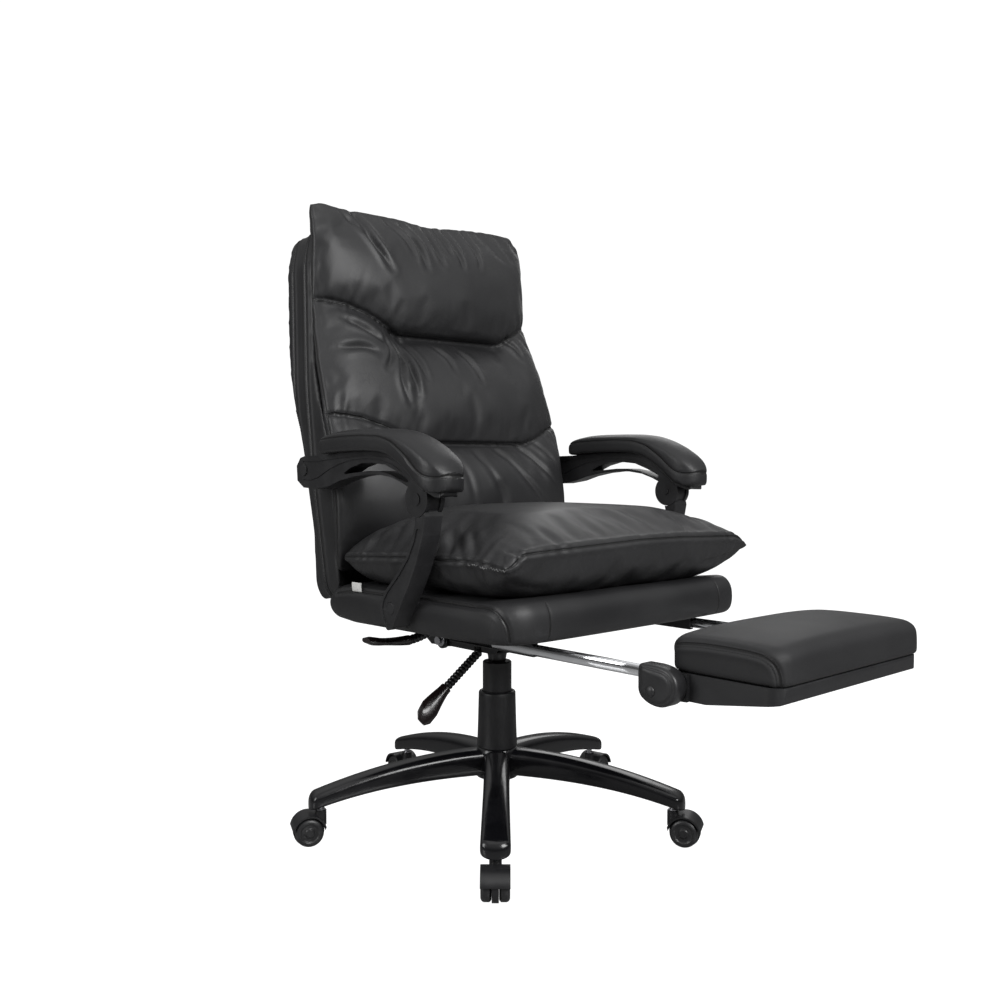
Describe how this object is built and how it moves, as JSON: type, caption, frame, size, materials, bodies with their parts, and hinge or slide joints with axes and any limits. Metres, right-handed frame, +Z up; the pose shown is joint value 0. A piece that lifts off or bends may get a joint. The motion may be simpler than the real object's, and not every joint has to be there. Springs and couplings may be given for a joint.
{
  "type": "reclining office chair with footrest",
  "caption": "High-backed padded swivel chair on a star base with casters, linked reclining back and arms, two levers and a slide-out flip-up footrest.",
  "frame": {"origin": "on the floor, on the axis of the gas lift column", "axes": "+Z up, the chair faces -Y, the sitter's right side with both levers is -X"},
  "size_m": [0.7355, 1.1105, 1.1563],
  "materials": {
    "leather": "soft satin leatherette",
    "plastic": "fine matt grain",
    "wheel": "satin nylon",
    "enamel": "gloss black enamel",
    "steel": "satin",
    "chrome": "polished",
    "plywood": "raw birch plywood",
    "label": "white woven tape"
  },
  "bodies": {
    "base": {"star_base": "enamel", "lower_sleeve": "plastic", "lift_tube": "steel", "thrust_bearing": "steel"},
    "rod": {"piston_rod": "steel"},
    "seat": {"gas_cylinder": "steel", "upper_sleeve": "plastic", "mechanism_pan": "enamel", "mechanism_bolts": "steel", "recline_axle": "steel", "return_spring": "steel", "seat_board": "plywood", "seat_base": "leather", "seat_pillow": "leather", "care_label": "label", "right_arm_pivot": "steel", "left_arm_pivot": "steel", "right_rail_guide": "plastic", "left_rail_guide": "plastic"},
    "valve": {"valve_pin": "steel"},
    "height_lever": {"height_lever_rod": "plastic", "height_lever_paddle": "plastic"},
    "recline_lever": {"recline_lever_rod": "plastic", "recline_lever_paddle": "plastic"},
    "back": {"back_bracket": "enamel", "back_bolts": "steel", "back_board": "plywood", "back_shell": "leather", "back_pillow": "leather"},
    "footrest_slide": {"right_rail": "chrome", "left_rail": "chrome", "right_hinge_bracket": "plastic", "left_hinge_bracket": "plastic"},
    "footrest": {"footrest_tray": "plastic", "footrest_pad": "leather"},
    "right_arm_link": {"right_upright": "plastic"},
    "right_arm": {"right_arm_bar": "plastic", "right_barrel_pin": "plastic", "right_rear_bolt": "plastic", "right_arm_pad": "leather"},
    "left_arm_link": {"left_upright": "plastic"},
    "left_arm": {"left_arm_bar": "plastic", "left_barrel_pin": "plastic", "left_rear_bolt": "plastic", "left_arm_pad": "leather"},
    "caster_1": {"caster_stem_1": "steel", "caster_hood_1": "plastic"},
    "wheels_1": {"caster_wheels_1": "wheel"},
    "caster_2": {"caster_stem_2": "steel", "caster_hood_2": "plastic"},
    "wheels_2": {"caster_wheels_2": "wheel"},
    "caster_3": {"caster_stem_3": "steel", "caster_hood_3": "plastic"},
    "wheels_3": {"caster_wheels_3": "wheel"},
    "caster_4": {"caster_stem_4": "steel", "caster_hood_4": "plastic"},
    "wheels_4": {"caster_wheels_4": "wheel"},
    "caster_5": {"caster_stem_5": "steel", "caster_hood_5": "plastic"},
    "wheels_5": {"caster_wheels_5": "wheel"}
  },
  "joints": [
    {"name": "seat_swivel", "type": "hinge", "parent": "base", "child": "rod", "pos_m": [0, 0, 0.09], "axis": [0, 0, 1], "continuous": true},
    {"name": "seat_height", "type": "slide", "parent": "rod", "child": "seat", "axis": [0, 0, 1], "range_m": [0, 0.08]},
    {"name": "recline", "type": "hinge", "parent": "seat", "child": "back", "pos_m": [0, 0.097, 0.34], "axis": [-1, 0, 0], "range_deg": [0, 40]},
    {"name": "height_lever_lift", "type": "hinge", "parent": "seat", "child": "height_lever", "pos_m": [-0.03, 0, 0.345], "axis": [0, 1, 0], "range_deg": [0, 8], "stiffness_Nm_per_rad": 3, "springref_deg": -4.58},
    {"name": "valve_press", "type": "slide", "parent": "seat", "child": "valve", "axis": [0, 0, 1], "range_m": [-0.0045, 0]},
    {"name": "recline_lever_lift", "type": "hinge", "parent": "seat", "child": "recline_lever", "pos_m": [-0.06, 0.01, 0.386], "axis": [0, 1, 0], "range_deg": [0, 5], "stiffness_Nm_per_rad": 3, "springref_deg": -6.88},
    {"name": "footrest_slide_out", "type": "slide", "parent": "seat", "child": "footrest_slide", "axis": [0, 1, 0], "range_m": [0, 0.195]},
    {"name": "footrest_flip", "type": "hinge", "parent": "footrest_slide", "child": "footrest", "pos_m": [0, -0.545, 0.371], "axis": [-1, 0, 0], "range_deg": [0, 180]},
    {"name": "right_arm_link_swing", "type": "hinge", "parent": "seat", "child": "right_arm_link", "pos_m": [-0.306, -0.098, 0.446], "axis": [-1, 0, 0], "range_deg": [0, 64]},
    {"name": "right_arm_tilt", "type": "hinge", "parent": "right_arm_link", "child": "right_arm", "pos_m": [-0.306, -0.168, 0.622], "axis": [-1, 0, 0], "range_deg": [-49, 0]},
    {"name": "left_arm_link_swing", "type": "hinge", "parent": "seat", "child": "left_arm_link", "pos_m": [0.306, -0.098, 0.446], "axis": [-1, 0, 0], "range_deg": [0, 64]},
    {"name": "left_arm_tilt", "type": "hinge", "parent": "left_arm_link", "child": "left_arm", "pos_m": [0.306, -0.168, 0.622], "axis": [-1, 0, 0], "range_deg": [-49, 0]},
    {"name": "caster_swivel_1", "type": "hinge", "parent": "base", "child": "caster_1", "pos_m": [-0.22506, -0.24135, 0.06], "axis": [0, 0, 1], "continuous": true},
    {"name": "wheel_roll_1", "type": "hinge", "parent": "caster_1", "child": "wheels_1", "pos_m": [-0.24006, -0.25744, 0.025], "axis": [0.7314, -0.682, 0], "continuous": true},
    {"name": "caster_swivel_2", "type": "hinge", "parent": "base", "child": "caster_2", "pos_m": [0.15999, -0.28863, 0.06], "axis": [0, 0, 1], "continuous": true},
    {"name": "wheel_roll_2", "type": "hinge", "parent": "caster_2", "child": "wheels_2", "pos_m": [0.17065, -0.30787, 0.025], "axis": [0.8746, 0.4848, 0], "continuous": true},
    {"name": "caster_swivel_3", "type": "hinge", "parent": "base", "child": "caster_3", "pos_m": [0.32394, 0.06297, 0.06], "axis": [0, 0, 1], "continuous": true},
    {"name": "wheel_roll_3", "type": "hinge", "parent": "caster_3", "child": "wheels_3", "pos_m": [0.34553, 0.06717, 0.025], "axis": [-0.1908, 0.9816, 0], "continuous": true},
    {"name": "caster_swivel_4", "type": "hinge", "parent": "base", "child": "caster_4", "pos_m": [0.04022, 0.32754, 0.06], "axis": [0, 0, 1], "continuous": true},
    {"name": "wheel_roll_4", "type": "hinge", "parent": "caster_4", "child": "wheels_4", "pos_m": [0.0429, 0.34938, 0.025], "axis": [-0.9925, 0.1219, 0], "continuous": true},
    {"name": "caster_swivel_5", "type": "hinge", "parent": "base", "child": "caster_5", "pos_m": [-0.29908, 0.13946, 0.06], "axis": [0, 0, 1], "continuous": true},
    {"name": "wheel_roll_5", "type": "hinge", "parent": "caster_5", "child": "wheels_5", "pos_m": [-0.31902, 0.14876, 0.025], "axis": [-0.4226, -0.9063, 0], "continuous": true}
  ],
  "couplings": [
    {"joint": "valve_press", "follows": "height_lever_lift", "m_per_rad": -0.03},
    {"joint": "right_arm_link_swing", "follows": "recline", "ratio": 1.5755},
    {"joint": "right_arm_tilt", "follows": "recline", "ratio": -1.2114},
    {"joint": "left_arm_link_swing", "follows": "recline", "ratio": 1.5755},
    {"joint": "left_arm_tilt", "follows": "recline", "ratio": -1.2114}
  ]
}
